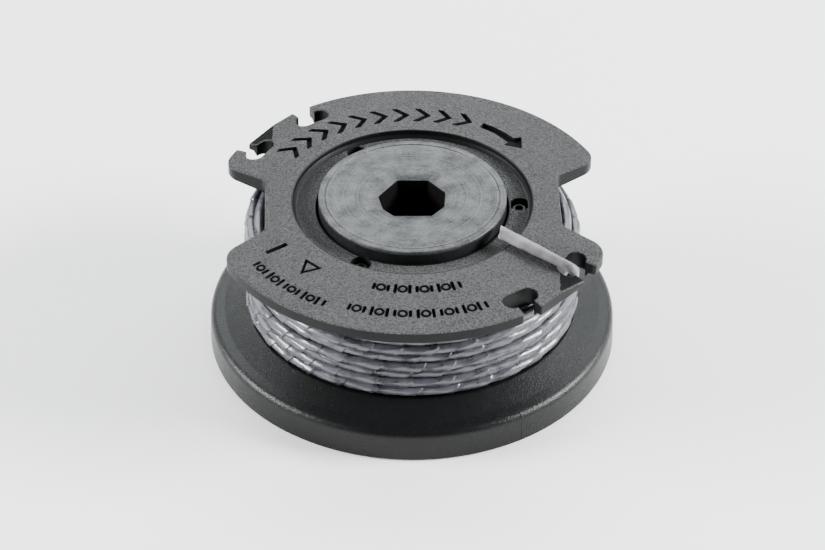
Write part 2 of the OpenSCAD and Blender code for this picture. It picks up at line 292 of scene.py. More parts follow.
def bar(r, a, width, height):
    half_w, half_h = width / 2, height / 2
    shape = [(-half_h, -half_w), (half_h, -half_w), (half_h, half_w), (-half_h, half_w)]
    return turned(engraved([(r + x, y) for x, y in shape], min(half_w, 0.15)), a)


def ring_mark(r, a, outer, inner, corners, spin=0):
    """Two loops round one place: a ring, or a triangle with three corners."""
    centre = polar(r, a)
    loops = []
    for size, way in ((outer, 1), (inner, -1)):
        loops.append([centre + polar(size, spin + way * 360 * k / corners) for k in range(corners)])
    return loops


def scale_row(r, from_a, to_a, count, height):
    """A row of short bars and small rings, as on a plain scale."""
    loops = []
    for i in range(count):
        a = from_a + (to_a - from_a) * i / (count - 1)
        if i % 3 == 1:
            loops += ring_mark(r, a, height * SCALE_RING, height * SCALE_RING - SCALE_LINE, 16)
        else:
            loops.append(bar(r, a, SCALE_STROKE, height * (1 if i % 2 else SCALE_SHORT)))
    return loops


def mark_loops():
    """Outlines of every engraved mark. An engraved floor lies to the left of its outline."""
    loops = [chevron(CHEVRON_FIRST_A - i * CHEVRON_STEP_A) for i in range(CHEVRONS)]
    loops.append(engraved(ARROW_CORNERS))
    for row in SCALE_ROWS:
        loops += scale_row(*row)
    loops.append(bar(r=23, a=-152, width=0.7, height=3.4))
    loops += ring_mark(r=22, a=-135, outer=1.9, inner=1.15, corners=3, spin=-135)
    return [np.array(loop) for loop in loops]


# ---- meshes
PLATE_SPACING = 0.9  # gap between the points inside a flat face


class Shell:
    """Collects points and faces, in mm, and becomes one Blender mesh."""

    def __init__(self):
        self.points, self.faces, self.paints = [], [], []

    def add(self, points, faces, paint=0):
        start = len(self.points)
        self.points += [tuple(map(float, p)) for p in points]
        self.faces += [tuple(start + i for i in face) for face in faces]
        self.paints += paint if isinstance(paint, list) else [paint] * len(faces)

    def bands(self, rows, paint=0):
        """Quads between closed rows of points of the same length."""
        for lower, upper in zip(rows, rows[1:]):
            n = len(lower)
            faces = [(i, (i + 1) % n, n + (i + 1) % n, n + i) for i in range(n)]
            self.add(list(lower) + list(upper), faces, paint)

    def plate(self, loops, wanted, height, facing, spacing=PLATE_SPACING, grid=None, paint=0):
        """Fills between outlines. wanted takes points and says which lie in the plate, and
        paint is a material's number or a function that gives one for each point."""
        edge_points = np.concatenate(loops)
        seeds = grid if grid is not None else polar_grid(spacing)
        if len(seeds):
            seeds = seeds[wanted(seeds)]
        if len(seeds):
            gaps = np.full(len(seeds), np.inf)
            for chunk in np.array_split(edge_points, max(1, len(edge_points) // 400)):
                distances = np.linalg.norm(seeds[:, None] - chunk[None], axis=2)
                gaps = np.minimum(gaps, distances.min(axis=1))
            seeds = seeds[gaps > spacing * 0.45]
        points = np.concatenate([edge_points, seeds]) if len(seeds) else edge_points
        edges, start = [], 0
        for loop in loops:
            n = len(loop)
            edges += [(start + i, start + (i + 1) % n) for i in range(n)]
            start += n
        found = delaunay_2d_cdt([Vector(p) for p in points], edges, [], 0, 1e-7)
        flat = np.array([tuple(p) for p in found[0]])
        faces = np.array(found[2])
        faces = faces[wanted(flat[faces].mean(axis=1))]
        solid = np.column_stack([flat, height(flat)])
        corners = flat[faces]
        side, other = corners[:, 1] - corners[:, 0], corners[:, 2] - corners[:, 0]
        area = side[:, 0] * other[:, 1] - side[:, 1] * other[:, 0]
        flip = (area > 0) != (facing > 0)
        faces[flip] = faces[flip][:, ::-1]
        faces = faces[np.abs(area) > 1e-9]
        if callable(paint):
            paint = [int(number) for number in paint(flat[faces].mean(axis=1))]
        self.add(solid, faces, paint)

    def finish(self, name, materials, body, slot, replaces=(), sharp=40, merge=0.002):
        mesh = bpy.data.meshes.new(name)
        mesh.from_pydata([tuple(c * MM for c in p) for p in self.points], [], self.faces)
        for material in materials:
            mesh.materials.append(material)
        mesh.polygons.foreach_set("material_index", self.paints)
        mesh.update()
        tool = bpy.data.objects.new(name, mesh)
        bpy.context.scene.collection.objects.link(tool)
        tidy_mesh(mesh, merge * MM, radians(sharp))
        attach(tool, body)
        if replaces:
            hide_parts(*replaces)
        return tool


def tidy_mesh(mesh, merge, sharp_angle):
    """Joins doubled points, turns every face outwards and shades smooth up to an angle."""
    bm = bmesh.new()
    bm.from_mesh(mesh)
    bmesh.ops.remove_doubles(bm, verts=bm.verts, dist=merge)
    bmesh.ops.dissolve_degenerate(bm, dist=merge * 0.1, edges=bm.edges)
    bmesh.ops.recalc_face_normals(bm, faces=bm.faces)
    for face in bm.faces:
        face.smooth = True
    for edge in bm.edges:
        if len(edge.link_faces) == 2 and edge.calc_face_angle(0) > sharp_angle:
            edge.smooth = False
    bm.to_mesh(mesh)
    bm.free()


def weighted(piece):
    """Shades by the large faces, so that small roundings catch the light cleanly."""
    modifier = piece.modifiers.new("weighted", "WEIGHTED_NORMAL")
    modifier.keep_sharp = True
    modifier.weight = 100


def polar_grid(spacing):
    points = []
    r = spacing
    while r < RIM_R:
        count = ceil(2 * pi * r / spacing)
        points += [polar(r, 360 * (k + 0.5 * (int(r / spacing) % 2)) / count) for k in range(count)]
        r += spacing
    return np.array(points)


def circle(r, count):
    return np.array([polar(r, 360 * k / count) for k in range(count)])


def lifted(loop, z):
    heights = z(loop) if callable(z) else np.full(len(loop), z)
    return np.column_stack([loop, heights])


def revolve(shell, corners, count=256, columns=None, bulge=None, paint=0, steps=4):
    """Turns a profile about the axis. A corner is (r, z) or (r, z, rounding), and
    bulge(a, r, z) moves a point outwards."""
    angles = columns if columns is not None else [360 * k / count for k in range(count)]
    rows = []
    for r, z in rounded(corners, closed=False, steps=steps):
        if r < 1e-6:
            rows.append([(0.0, 0.0, z)] * len(angles))
            continue
        rows.append([(*polar(r + (bulge(a, r, z) if bulge else 0), a), z) for a in angles])
    shell.bands(rows, paint)


# ---- materials
NOISE_RANGE = (0.3, 0.7)  # where most of a noise's values lie
TINT_RANGE = (0.36, 0.64)  # the same for a plastic's tint
TURNED_SHARE = 0.22  # share of a turned surface's tint that follows its rings


def new_material(name):
    material = bpy.data.materials.new(name)
    material.use_nodes = True
    nodes = material.node_tree.nodes
    return material, nodes, material.node_tree.links, nodes["Principled BSDF"]


def noise(nodes, links, place, size_mm, detail=4, roughness=0.5):
    texture = nodes.new("ShaderNodeTexNoise")
    texture.inputs["Scale"].default_value = 1 / (size_mm * MM)
    texture.inputs["Detail"].default_value = detail
    texture.inputs["Roughness"].default_value = roughness
    links.new(place.outputs["Object"], texture.inputs["Vector"])
    return texture.outputs["Fac"]


def colour_ramp(nodes, links, factor, dark, light, ends=NOISE_RANGE):
    ramp = nodes.new("ShaderNodeValToRGB")
    for element, position, colour in zip(ramp.color_ramp.elements, ends, (dark, light)):
        element.position = position
        element.color = (*colour, 1)
    links.new(factor, ramp.inputs["Fac"])
    return ramp.outputs["Color"]


def bump(nodes, links, height, depth_mm, under=None):
    tool = nodes.new("ShaderNodeBump")
    tool.inputs["Distance"].default_value = depth_mm * MM
    links.new(height, tool.inputs["Height"])
    if under:
        links.new(under, tool.inputs["Normal"])
    return tool.outputs["Normal"]


def mapped(nodes, links, value, low, high):
    tool = nodes.new("ShaderNodeMapRange")
    tool.inputs["From Min"].default_value = NOISE_RANGE[0]
    tool.inputs["From Max"].default_value = NOISE_RANGE[1]
    tool.inputs["To Min"].default_value = low
    tool.inputs["To Max"].default_value = high
    links.new(value, tool.inputs["Value"])
    return tool.outputs["Result"]


def axis_rings(nodes, links, place, spacing_mm):
    """Irregular rings about the spool's axis, as a cutter leaves on a turned mould."""
    flat = nodes.new("ShaderNodeVectorMath")
    flat.operation = "MULTIPLY"
    flat.inputs[1].default_value = (1, 1, 0)
    links.new(place.outputs["Object"], flat.inputs[0])
    radius = nodes.new("ShaderNodeVectorMath")
    radius.operation = "LENGTH"
    links.new(flat.outputs["Vector"], radius.inputs[0])
    texture = nodes.new("ShaderNodeTexNoise")
    texture.noise_dimensions = "1D"
    texture.inputs["Scale"].default_value = 1 / (spacing_mm * MM)
    texture.inputs["Detail"].default_value = 3
    links.new(radius.outputs["Value"], texture.inputs["W"])
    return texture.outputs["Fac"]


def mixed(nodes, links, share, one, other):
    tool = nodes.new("ShaderNodeMix")
    tool.inputs["Factor"].default_value = share
    links.new(one, tool.inputs["A"])
    links.new(other, tool.inputs["B"])
    return tool.outputs["Result"]


def plastic(name, dark, light, roughness, grain_mm, grain_depth_mm, cloud_mm=4.0, specular=0.5,
            speckle=0.5, gloss_change=0.08, turned_mm=0, turned_depth_mm=0):
    """Moulded plastic: a fine grain in the surface, and speckle and cloudiness in its colour
    and gloss. turned_mm adds rings about the axis, about that far apart."""
    material, nodes, links, surface = new_material(name)
    place = nodes.new("ShaderNodeTexCoord")
    cloud = noise(nodes, links, place, cloud_mm, 6, 0.65)
    grain = noise(nodes, links, place, grain_mm, 2, 0.7)
    tint = mixed(nodes, links, speckle, cloud, grain)
    normal = bump(nodes, links, grain, grain_depth_mm)
    if turned_mm:
        rings = axis_rings(nodes, links, place, turned_mm)
        tint = mixed(nodes, links, TURNED_SHARE, tint, rings)
        normal = bump(nodes, links, rings, turned_depth_mm, normal)
    colour = colour_ramp(nodes, links, tint, dark, light, TINT_RANGE)
    links.new(colour, surface.inputs["Base Color"])
    links.new(normal, surface.inputs["Normal"])
    gloss = mapped(nodes, links, tint, roughness + gloss_change, roughness - gloss_change)
    links.new(gloss, surface.inputs["Roughness"])
    surface.inputs["Specular IOR Level"].default_value = specular
    return material


def metal(name, colour, roughness, streak_mm):
    material, nodes, links, surface = new_material(name)
    place = nodes.new("ShaderNodeTexCoord")
    streak = noise(nodes, links, place, streak_mm)
    dull = [c * 0.8 for c in colour]
    gloss = mapped(nodes, links, streak, roughness - 0.06, roughness + 0.08)
    links.new(colour_ramp(nodes, links, streak, dull, colour), surface.inputs["Base Color"])
    links.new(gloss, surface.inputs["Roughness"])
    surface.inputs["Metallic"].default_value = 1
    return material


def nylon_line(name, dark, light, low_roughness, high_roughness, specular):
    """Milky nylon: light goes a little way in, and the surface is slightly wavy."""
    material, nodes, links, surface = new_material(name)
    place = nodes.new("ShaderNodeTexCoord")
    cloud = noise(nodes, links, place, size_mm=2.2, roughness=0.6)
    ripple = noise(nodes, links, place, size_mm=2.5, detail=2)
    gloss = mapped(nodes, links, cloud, low_roughness, high_roughness)
    links.new(colour_ramp(nodes, links, cloud, dark, light), surface.inputs["Base Color"])
    links.new(bump(nodes, links, ripple, depth_mm=0.12), surface.inputs["Normal"])
    links.new(gloss, surface.inputs["Roughness"])
    surface.inputs["IOR"].default_value = 1.53
    surface.inputs["Specular IOR Level"].default_value = specular
    surface.inputs["Subsurface Weight"].default_value = 0.5
    surface.inputs["Subsurface Radius"].default_value = (0.9, 0.9, 1.0)
    surface.inputs["Subsurface Scale"].default_value = MM
    return material


DEEP_BLACK = (0.002, 0.0022, 0.0024)
SATIN_LIGHT = (0.006, 0.0064, 0.0068)
# Dark end of the pins' plastic, and of the hub's sides, where it is painted shade.
DARK_AND_SHADE = (0.004, 0.0045, 0.005)
# The flange's top: its speckled colour is partly the moulded grain and partly painted sheen, lighter than
# the walls of the same plastic.
BLACK_GRAIN_AND_SHEEN = plastic("black_grain_and_sheen", DEEP_BLACK, (0.06, 0.062, 0.064), roughness=0.48, grain_mm=0.3,
    grain_depth_mm=0.6, cloud_mm=5, specular=0.35, speckle=0.9)
# Engraved marks, the tongues' ramps and the pin holes' floors: painted near-black as the shade in these sunk
# places.
SUNK_SHADE_BLACK = plastic("sunk_shade_black", DEEP_BLACK, (0.005, 0.0052, 0.0055), roughness=0.75, grain_mm=0.5,
    grain_depth_mm=0.05, specular=0.08)
# Walls of the flange, the recess, the pin holes and the drum: the same plastic as the top, painted darker as
# shade.
WALL_SHADE_SATIN = plastic("wall_shade_satin", DEEP_BLACK, SATIN_LIGHT, roughness=0.4, grain_mm=0.4,
    grain_depth_mm=0.03, specular=0.14)
BLACK_SATIN = plastic("black_satin", DEEP_BLACK, SATIN_LIGHT, roughness=0.32, grain_mm=0.25,
    grain_depth_mm=0.07, cloud_mm=5, specular=0.22, speckle=0.8)
CAP_SATIN = plastic("cap_satin", (0.009, 0.0095, 0.01), (0.013, 0.0135, 0.014), roughness=0.45,
    grain_mm=0.5, grain_depth_mm=0.03)
PIN_PLASTIC = plastic("pin_plastic", DARK_AND_SHADE, (0.01, 0.0105, 0.011), roughness=0.4, grain_mm=0.5,
    grain_depth_mm=0.02, specular=0.18)
# Hub: the face's lighter grey-black colour is partly painted sheen, and the sides' darker colour is painted
# shade, on one moulding.
HUB_FACE_AND_SHEEN = plastic("hub_face_and_sheen", (0.002, 0.0025, 0.003), (0.072, 0.075, 0.078), roughness=0.38,
    grain_mm=0.4, grain_depth_mm=0.07, cloud_mm=2.5, specular=0.33, speckle=0.3,
    gloss_change=0.2, turned_mm=0.3, turned_depth_mm=0.007)
HUB_SIDE_SHADE = plastic("hub_side_shade", DARK_AND_SHADE, (0.012, 0.0125, 0.013), roughness=0.4, grain_mm=0.5,
    grain_depth_mm=0.03, specular=0.3)
# Inside of the hub's socket: painted near-black as the shade down the hole.
SOCKET_SHADE_BLACK = plastic("socket_shade_black", (0.001, 0.001, 0.001), (0.003, 0.003, 0.003), roughness=0.6,
    grain_mm=0.5, grain_depth_mm=0.02, specular=0.08)
BRONZE = metal("bronze", (0.5, 0.36, 0.18), roughness=0.4, streak_mm=0.6)
CLIP_METAL = metal("clip_metal", (0.4, 0.41, 0.43), roughness=0.35, streak_mm=0.8)
RING_WHITE = plastic("ring_white", (0.5, 0.5, 0.47), (0.6, 0.6, 0.57), roughness=0.4, grain_mm=0.3,
    grain_depth_mm=0.006)


# ---- the line
LAYER_STEP = 1.385
LAYER_RADII = [18.95 + LAYER_STEP * k for k in range(5)]
# Gaps between the sections of each layer. The layer in sight follows the line's steps instead.
LAYER_SPACINGS = (2.4, 2.4, 2.4, 1.2, 0)
ROWS = 9
LAYER_START_A = 110.0  # where each layer starts
TAIL_START_A = -80.3  # where the line leaves the last layer
ANCHOR_A = 200.0  # where the line's inner end goes into the drum
LEAD_BEND_R, LEAD_STRAIGHT, LEAD_LIFT, LEAD_STEPS = 1.5, 1, 0.05, 6  # inner end, at the anchor hole
JOIN_LENGTH = 16.0  # length in which the last turn swings out to the free end
CLIMB_SHARE = 0.2  # share of a turn in which the line climbs to its next row
LIFT_SPAN = 16.0  # angle in which it climbs onto the layer below
# Rows of the outermost layer: height above the lowest row, and how far a row has sunk
# between its neighbours
OUTER_ROWS = ((0, 0), (1.5, 0.2), (2.95, 0.55), (4.4, 0), (6.2, 0.35),
              (7.7, 0), (9.3, 0.3), (11, 0), (12.6, 0.2))
HEIGHT_WAVES = ((0.06, 1.37), (0.05, 2.11))  # unevenness of the winding: size, and waves per radian
RADIUS_WAVES = ((0.04, 3.3),)
TWIST_PITCH = -23.0  # one whole twist of the square section, left-handed
SECTION_SIDES = 12
CORNER_SIZE, FLAT_SIZE = 1.02, 0.97  # section's half width at a corner and at a flat, in line radii
STEP_LENGTH = 5.2  # the line swells, then steps back, again and again
STEP_SIZE, STEP_LEAN = 0.19, 0.75  # size of a step, and its slant along the line
# One swelling: share of its length, and size
STEP_SHAPE = ((0, 0.5), (0.04, -0.5), (0.16, -0.45), (0.34, -0.3),
              (0.52, -0.1), (0.7, 0.15), (0.85, 0.36), (0.95, 0.48))
WORN_END, WORN_FADE = 16, 8  # length of free end that is rubbed smooth, and length in which that fades
WORN_SQUARENESS = 0.25  # what is left there of the square section
WORN_SPREAD, WORN_PINCH = 0.3, 1.6  # how far its tip has spread sideways, and the slot's grip on it
SPREAD_LENGTH, PINCH_LENGTH = 4, 7  # the spread tip, and the stretch in which it narrows
WORN_WAVES = ((0.05, 2.3), (0.035, 5.1))
CUT_FACING, CUT_SLANT = np.array([-0.61, -0.79, 0.3]), 0.8  # the way the bare end's cut faces, and its slant
FRESH_SHADED, WORN_LIT = 0, 1  # the line's two colours: the winding's, darker as painted shade, and the rubbed free end's, lighter partly as painted light
# Free end, the same points as in the design's route, from the winding outwards
TAIL_ROUTE = [(12.7, -9.55, 25.75), (15, -11.5, 25.65), (17.4, -13.35, 25.45), (19.8, -15.15, 25.2),
              (21.6, -16.4, 24.9), (22.8, -16.8, 24.3), (23.1, -16.25, 23.3), (22.95, -15.9, 22.3),
              (22.5, -15.9, 21.3), (21.8, -16.3, 20.5), (20.9, -17.2, 20), (19.6, -18.5, 19.85),
              (18, -19.9, 19.8), (16.1, -21.3, 19.85), (13.9, -22.5, 19.95), (11.4, -23.4, 20.15),
              (8.7, -24.1, 20.3), (6, -24.4, 20.4), (4.2, -24.6, 20.5)][::-1]


def smooth_curve(points, step):
    """Catmull-Rom curve through points, sampled about every step."""
    p = [np.array(q, float) for q in points]
    out = []
    for i in range(len(p) - 1):
        a, b, c, d = p[max(i - 1, 0)], p[i], p[i + 1], p[min(i + 2, len(p) - 1)]
        count = max(1, round(np.linalg.norm(c - b) / step))
        for k in range(count):
            t = k / count
            out.append(0.5 * (2 * b + (c - a) * t + (2 * a - 5 * b + 4 * c - d) * t * t
                              + (3 * b - a - 3 * c + d) * t ** 3))
    out.append(p[-1])
    return np.array(out)


def waves(along, sizes_and_rates, starts):
    return sum(size * sin(along * rate + start) for (size, rate), start in zip(sizes_and_rates, starts))


def row_place(layer, row):
    """Height of a row above the winding's lowest row, and how far it has sunk."""
    if layer == len(LAYER_RADII) - 1:
        rows = range(ROWS)
        return [np.interp(row, rows, column) for column in zip(*OUTER_ROWS)]
    rise = (WINDING_HIGH[2] - WINDING_LOW[2] - 2 * LINE_R) * row / (ROWS - 1)
    return [rise, 0]


def eased(t):
    """From 0 to 1, slowly at both ends."""
    t = min(1.0, max(0.0, t))
    return t * t * (3 - 2 * t)


def layer_places(rng, length, spacing):
    """Where the line's sections lie along a layer, and how much each one's size is off."""
    if spacing:
        return [(spacing * i, 0) for i in range(int(length / spacing))]
    places, run = [], 0
    while run < length:
        step = STEP_LENGTH * rng.uniform(0.8, 1.2)
        places += [(run + part * step, size) for part, size in STEP_SHAPE if run + part * step < length]
        run += step
    return places


def winding_path():
    """Layer by layer from the drum outwards, always anticlockwise, up one layer and down the
    next. A turn keeps to its row and climbs to the next one at the back, where the layers
    change too. Returns the points and the step in the line's size at each."""
    rng = np.random.default_rng(7)
    path, sizes = [], []
    last = len(LAYER_RADII) - 1
    for layer, (r, spacing) in enumerate(zip(LAYER_RADII, LAYER_SPACINGS)):
        total = 360.0 * (ROWS - 1)
        if layer == last:
            total += (TAIL_START_A - LAYER_START_A) % 360
        wobble = rng.uniform(0, 2 * pi, 3)
        skipped = ANCHOR_A - LAYER_START_A if layer == 0 else 0
        for run, size in layer_places(rng, radians(total - skipped) * r, spacing):
            done = skipped + degrees(run / r)
            row, part = divmod(done / 360, 1)
            row += eased((part - 1 + CLIMB_SHARE) / CLIMB_SHARE)
            rise, sink = row_place(layer, row if layer % 2 == 0 else ROWS - 1 - row)
            turn = radians(LAYER_START_A + done)
            rise += waves(turn, HEIGHT_WAVES, wobble[:2])
            low, high = WINDING_LOW[2] + LINE_R, WINDING_HIGH[2] - LINE_R
            z = np.clip(low + rise, low, high)
            below = LAYER_STEP * (1 - eased(done / LIFT_SPAN)) if layer > 0 else 0
            out = r - sink - below + waves(turn, RADIUS_WAVES, wobble[2:])
            path.append((*polar(out, LAYER_START_A + done), z))
            sizes.append(size)
    return path, sizes


def lead_in():
    """Out through the drum's anchor hole, then round into the first turn."""
    start_r = LAYER_RADII[0] - LEAD_BEND_R
    places = [(start_r - LEAD_STRAIGHT, 0)]
    for k in range(LEAD_STEPS + 1):
        a = radians(90 * k / LEAD_STEPS)
        places.append((start_r + LEAD_BEND_R * sin(a), LEAD_BEND_R * (1 - cos(a))))
    height = WINDING_LOW[2] + LINE_R + LEAD_LIFT
    return [(*place, height) for place in turned(places, ANCHOR_A)]


def line_path():
    """The line's whole centre line, and the step in its size at each point."""
    path, sizes = winding_path()
    lead, tail = lead_in(), smooth_curve(TAIL_ROUTE, step=0.5)
    path, sizes = np.array(path[1:]), sizes[1:]
    runs = np.concatenate([[0], np.cumsum(np.linalg.norm(np.diff(path, axis=0), axis=1))])
    share = np.array([eased(1 - (runs[-1] - run) / JOIN_LENGTH) for run in runs])
    path += share[:, None] * (tail[0] - path[-1])
    whole = np.concatenate([np.array(lead), path, tail[1:]])
    return whole, [0] * len(lead) + sizes + [0] * (len(tail) - 1)


def square_section(squareness):
    """Square with rounded corners: sizes and angles of its points."""
    section = []
    for k in range(SECTION_SIDES):
        a = 2 * pi * k / SECTION_SIDES
        size = CORNER_SIZE - (CORNER_SIZE - FLAT_SIZE) * (1 - cos(4 * a)) / 2
        section.append((1 + squareness * (size - 1), a))
    return section


def worn_spread(from_tip):
    """Share by which the rubbed end has spread: wide near the tip, narrow in the slot, and a
    little uneven."""
    narrowing = eased((from_tip - SPREAD_LENGTH) / PINCH_LENGTH)
    return WORN_SPREAD * (1 - WORN_PINCH * narrowing) + waves(from_tip, WORN_WAVES, (0, 1))


def tube(path, sizes, shell):
    """Square, round-cornered section that twists and steps as it runs along the path. Returns
    the path's length."""
    tangents = np.gradient(path, axis=0)
    tangents /= np.linalg.norm(tangents, axis=1)[:, None]
    runs = np.concatenate([[0], np.cumsum(np.linalg.norm(np.diff(path, axis=0), axis=1))])
    up = np.array([0.0, 0, 1])
    side = np.cross(up, tangents[0])
    points = []
    for i, (place, ahead, run, step) in enumerate(zip(path, tangents, runs, sizes)):
        side = side - (side @ ahead) * ahead
        side /= np.linalg.norm(side)
        top = np.cross(ahead, side)
        level = np.cross(up, ahead)
        spin = 2 * pi * run / TWIST_PITCH
        fresh = min(1, max(0, runs[-1] - run - WORN_END) / WORN_FADE)
        for size, a in square_section(WORN_SQUARENESS + (1 - WORN_SQUARENESS) * fresh):
            offset = LINE_R * size * (cos(a + spin) * side + sin(a + spin) * top)
            offset = offset * (1 + fresh * STEP_SIZE * step) + fresh * STEP_LEAN * offset[2] * ahead
            offset = offset + (1 - fresh) * worn_spread(runs[-1] - run) * (offset @ level) * level
            if i == len(path) - 1:
                offset = offset - CUT_SLANT * (offset @ CUT_FACING) * ahead
            points.append(place + offset)
    sides = SECTION_SIDES
    faces, paints = [], []
    for i in range(len(path) - 1):
        here, there = i * sides, (i + 1) * sides
        for k in range(sides):
            n = (k + 1) % sides
            faces.append((here + k, here + n, there + n, there + k))
            paints.append(WORN_LIT if runs[-1] - runs[i] < WORN_END else FRESH_SHADED)
    last = (len(path) - 1) * sides
    faces.append(tuple(range(sides))[::-1])
    faces.append(tuple(last + k for k in range(sides)))
    shell.add(points, faces, paints + [FRESH_SHADED, WORN_LIT])
    return runs[-1]


def make_line():
    path, sizes = line_path()
    shell = Shell()
    length = tube(path, sizes, shell)
    # One nylon in two colours: the winding darker, as painted shade, and the free end lighter, partly its
    # rubbed surface and partly painted light where it lies on top.
    fresh = nylon_line("fresh_line_shaded", (0.028, 0.028, 0.035), (0.08, 0.08, 0.096),
                       low_roughness=0.24, high_roughness=0.38, specular=0.65)
    worn = nylon_line("worn_line_lit", (0.1, 0.097, 0.104), (0.24, 0.233, 0.247),
                      low_roughness=0.42, high_roughness=0.6, specular=0.3)
    piece = shell.finish("cutting_line", [fresh, worn], "root", "line",
                         ["line_winding", "line_tail"], sharp=38, merge=0.0001)


# ---- spool body
GRAIN_AND_SHEEN, SUNK_SHADE, WALL_SHADE = 0, 1, 2  # the body's three materials: the grained top with painted sheen, the sunk places in painted shade, the walls in painted shade
RING_COUNT = 288  # columns of a turned surface
MOUTH_R = RECESS_R + 0.25  # top of the recess wall
FLOOR_R, FLOOR_EDGE_R = RECESS_R - 0.6, WELL_R + 0.35  # outer and inner edge of the recess floor
ROOT_R = DRUM_R + 0.6  # where the drum's fillet meets the flange
RAMP_BLEND = 0.05  # softening of a ramp's upper edge
PAD_EDGE = 0.5  # width of the slope round a pad


def cone_z(points):
    return RIM_Z + CROWN_H * (RIM_R - np.linalg.norm(points, axis=1)) / (RIM_R - RECESS_R)


def ramp_drop(points, middle):
    """How far below the cone a tongue's ramp lies. It is above zero where there is no ramp."""
    x, y = np.array(turned(points, -middle - RAMP_TURN)).T
    drop = RAMP_Z - (x - RAMP_X) * RAMP_FALL - cone_z(points)
    runs_out = np.clip((RAMP_Y[1] - y) / RAMP_RUN_OUT, 0, 1)
    return np.where(drop < 0, drop * runs_out ** 2 * (3 - 2 * runs_out), drop)


def top_z(points):
    """The flange's top face: a cone, with a ramp down to a line slot on each tongue."""
    z = cone_z(points)
    blend = RAMP_BLEND
    for middle in PAIRS:
        drop = ramp_drop(points, middle)
        softened = -np.clip(blend - drop, 0, 2 * blend) ** 2 / (4 * blend)
        z = z + np.where(drop < -blend, drop, softened)
    return z


def top_paint(points):
    """The ramps are smooth and painted dark as shade, the rest of the top is grained, with painted sheen."""
    lowest = np.min([ramp_drop(points, middle) for middle in PAIRS], axis=0)
    return np.where(lowest < 0, SUNK_SHADE, GRAIN_AND_SHEEN)


def ramp_seeds():
    """Extra points along the upper edge of each ramp."""
    step = 0.35
    ys = [RAMP_Y[0] + step * k for k in range(int((RAMP_Y[1] - RAMP_Y[0]) / step) + 1)]
    seeds = []
    for middle in PAIRS:
        for across in (-0.2, 0, 0.2, 0.5):
            seeds += turned([(RAMP_X + across, y) for y in ys], middle + RAMP_TURN)
    return np.array(seeds)


def underside_z(points):
    """The flange's underside, with the pads under the two pairs of slots."""
    r = np.linalg.norm(points, axis=1)
    a = np.degrees(np.arctan2(points[:, 1], points[:, 0]))
    z = np.full(len(points), FLANGE_LOW_Z)
    for middle in PAIRS:
        off = np.abs((a - middle + 180) % 360 - 180)
        along = radians(1) * r * (PAD_HALF_SPAN - off)
        within = np.minimum(along, np.minimum(r - PAD_LOW_R, PAD_HIGH_R - r))
        z -= PAD_T * np.clip(within / PAD_EDGE, 0, 1)
    return z


def flange_rim(shell):
    """The rim and the openings' walls, with rounded edges. Returns the outlines that the top
    face and the underside reach to."""
    outline = flange_outline()
    normals = left_normals(outline)
    steps = 4
    upper, lower = [], []
    for k in range(steps + 1):
        a = radians(90 * k / steps)
        loop = outline + normals * EDGE_R * (1 - sin(a))
        upper.append(lifted(loop, lambda p, a=a: top_z(p) - EDGE_R * (1 - cos(a))))
        loop = outline + normals * EDGE_R * (1 - cos(a))
        lower.append(lifted(loop, lambda p, a=a: underside_z(p) + EDGE_R * (1 - sin(a))))
    shell.bands(upper, GRAIN_AND_SHEEN)
    shell.bands([upper[-1]] + lower, WALL_SHADE)
    return upper[0][:, :2], lower[-1][:, :2]


def flange_top(shell, top_loop):
    """The top face, with its engraved marks."""
    marks = mark_loops()
    brim = [loop - left_normals(loop) * 0.05 for loop in marks]
    wall = [loop + left_normals(loop) * 0.04 for loop in marks]

    def on_top(points):
        in_marks = sum(inside(points, loop).astype(int) for loop in brim)
        beyond_mouth = np.linalg.norm(points, axis=1) > MOUTH_R
        return inside(points, top_loop) & beyond_mouth & (in_marks % 2 == 0)

    def in_marks(points):
        return sum(inside(points, loop).astype(int) for loop in wall) % 2 == 1

    def mark_floor_z(points):
        return top_z(points) - MARK_DEPTH

    seeds = np.concatenate([polar_grid(PLATE_SPACING), ramp_seeds()])
    outlines = [top_loop, circle(MOUTH_R, RING_COUNT)] + brim
    shell.plate(outlines, on_top, top_z, 1, grid=seeds, paint=top_paint)
    # The marks' walls and floors are painted dark as the shade inside the engraving.
    for outer, middle, inner in zip(brim, marks, wall):
        shell.bands([lifted(outer, top_z), lifted(middle, lambda p: top_z(p) - 0.06),
                     lifted(inner, mark_floor_z)], SUNK_SHADE)
    shell.plate(wall, in_marks, mark_floor_z, 1, grid=np.empty((0, 2)), paint=SUNK_SHADE)


def flange_underside(shell, low_loop):
    def on_underside(points):
        return inside(points, low_loop) & (np.linalg.norm(points, axis=1) > ROOT_R)

    shell.plate([low_loop, circle(ROOT_R, RING_COUNT)], on_underside, underside_z, -1)


def recess_floor(shell):
    """The recess floor with its three pin holes."""
    holes = [circle(PIN_HEAD_R + 0.12, 40) + polar(PIN_CIRCLE_R, a) for a in PIN_ANGLES]
    hole_z = RECESS_Z - PIN_SINK - PIN_HEAD_T

    def on_floor(points):
        r = np.linalg.norm(points, axis=1)
        out = np.all([~inside(points, hole) for hole in holes], axis=0)
        return (r < FLOOR_R) & (r > FLOOR_EDGE_R) & out

    rings = [circle(FLOOR_R, RING_COUNT), circle(FLOOR_EDGE_R, RING_COUNT)]
    shell.plate(rings + holes, on_floor, lambda p: np.full(len(p), RECESS_Z), 1, spacing=0.8)
    for hole, a in zip(holes, PIN_ANGLES):
        middle = polar(PIN_CIRCLE_R, a)
        inner = middle + (hole - middle) * 0.97
        shell.bands([lifted(hole, RECESS_Z), lifted(inner, RECESS_Z - 0.05), lifted(inner, hole_z)], WALL_SHADE)
        # The holes' floors are painted dark as shade, and their walls get the walls' painted shade.
        shell.add(lifted(inner, hole_z), [tuple(range(len(hole)))], SUNK_SHADE)


